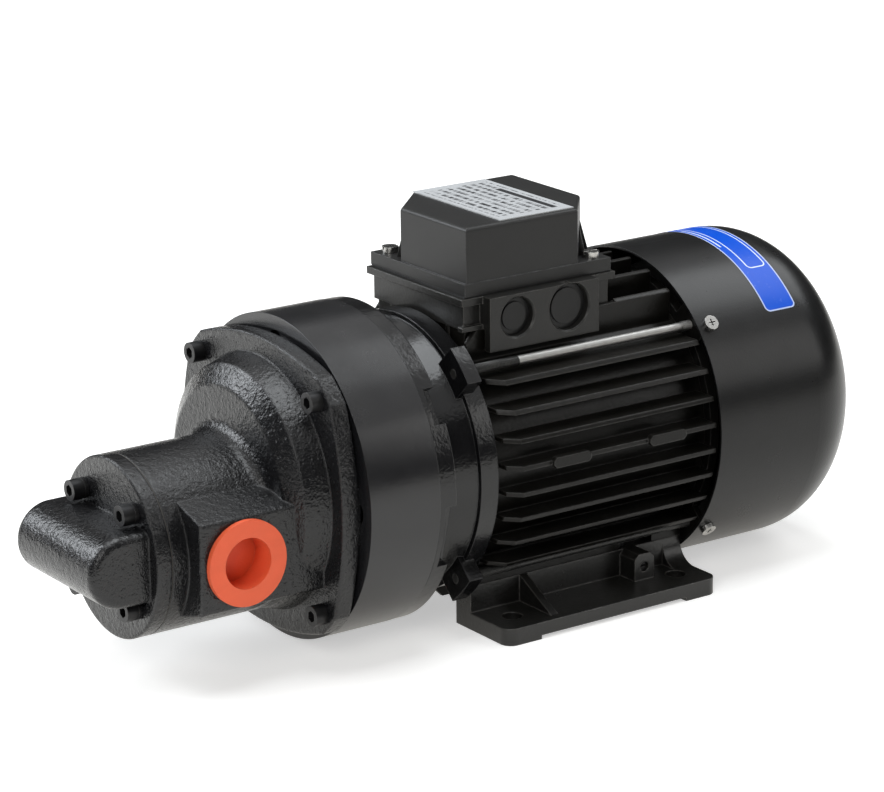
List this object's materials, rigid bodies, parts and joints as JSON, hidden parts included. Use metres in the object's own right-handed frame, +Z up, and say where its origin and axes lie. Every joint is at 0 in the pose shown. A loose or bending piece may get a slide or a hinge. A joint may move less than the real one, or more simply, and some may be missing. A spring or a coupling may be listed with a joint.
{
  "type": "gear pump",
  "caption": "External gear pump with relief valve in its cover, bell-mounted on a foot-mounted fan-cooled motor.",
  "frame": {"origin": "centre of the foot bolt pattern on the plane that the feet stand on", "axes": "+X along the shaft from the pump to the fan, +Z up, -Y the side with the plugged port"},
  "size_m": [0.4275, 0.159, 0.1963],
  "materials": {
    "casting_paint": "gloss black paint on a rough casting",
    "ring_paint": "semi-gloss black paint on a turned face",
    "motor_paint": "satin black paint",
    "cowl_paint": "satin black powder coat",
    "lid_plastic": "satin dark grey moulding",
    "bright_zinc": "bright zinc plate",
    "black_screw": "black oxide",
    "ground_steel": "ground",
    "core_steel": "stacked laminations",
    "copper_wire": "varnished copper wire",
    "bronze": "turned bronze",
    "seal_rubber": "matt black",
    "spider_rubber": "matt red",
    "hub_metal": "as cast, turned bore",
    "gasket_paper": "oiled paper",
    "box_seal": "soft foam rubber",
    "orange_plastic": "soft orange moulding",
    "plate_metal": "satin",
    "blue_label": "printed film",
    "fan_plastic": "black moulding",
    "terminal_plastic": "brown moulding",
    "terminal_brass": "bright brass"
  },
  "bodies": {
    "housing": {"motor_frame": "motor_paint", "front_foot": "motor_paint", "rear_foot": "motor_paint", "foot_screws": "black_screw", "earth_screw": "black_screw", "drive_end_shield": "motor_paint", "fan_end_shield": "motor_paint", "tie_rods": "bright_zinc", "tie_rod_nuts": "bright_zinc", "fan_cowl": "cowl_paint", "cowl_screws": "bright_zinc", "bearing_outer_rings": "ground_steel", "bearing_balls": "ground_steel", "wave_washer": "ground_steel", "stator_core": "core_steel", "stator_windings": "copper_wire", "adapter_ring": "ring_paint", "adapter_screws": "black_screw", "flange_screws": "black_screw", "pump_body": "casting_paint", "cover_gasket": "gasket_paper", "pump_cover": "casting_paint", "cover_screws": "black_screw", "cover_spring_washers": "black_screw", "pump_bushes": "bronze", "shaft_seal": "seal_rubber", "relief_plug": "bright_zinc", "relief_spring": "ground_steel", "terminal_box_base": "motor_paint", "cable_entry_plugs": "fan_plastic", "terminal_box_gasket": "box_seal", "terminal_box_lid": "lid_plastic", "lid_screws": "bright_zinc", "rating_plate": "plate_metal", "terminal_block": "terminal_plastic", "terminal_studs": "terminal_brass"},
    "rotor": {"motor_shaft": "ground_steel", "shaft_key": "ground_steel", "rotor_core": "core_steel", "cooling_fan": "fan_plastic", "bearing_inner_rings": "ground_steel", "pump_coupling_hub": "hub_metal", "motor_coupling_hub": "hub_metal", "coupling_spider": "spider_rubber", "drive_gear": "ground_steel"},
    "driven_gear": {"driven_gear": "ground_steel"},
    "relief_piston": {"relief_piston": "ground_steel"},
    "port_plug": {"port_plug": "orange_plastic"}
  },
  "joints": [
    {"name": "motor_shaft_spin", "type": "hinge", "parent": "housing", "child": "rotor", "pos_m": [0, 0, 0.08], "axis": [1, 0, 0], "continuous": true},
    {"name": "driven_gear_spin", "type": "hinge", "parent": "housing", "child": "driven_gear", "pos_m": [0, 0, 0.047], "axis": [1, 0, 0], "continuous": true},
    {"name": "relief_valve_lift", "type": "slide", "parent": "housing", "child": "relief_piston", "axis": [0, 1, 0], "range_m": [0, 0.006], "stiffness_N_per_m": 500, "springref_m": -0.004, "deforming": ["relief_spring"]},
    {"name": "port_plug_pull", "type": "slide", "parent": "housing", "child": "port_plug", "axis": [0, -1, 0], "range_m": [0, 0.03]}
  ],
  "couplings": [
    {"joint": "driven_gear_spin", "follows": "motor_shaft_spin", "ratio": -1}
  ]
}
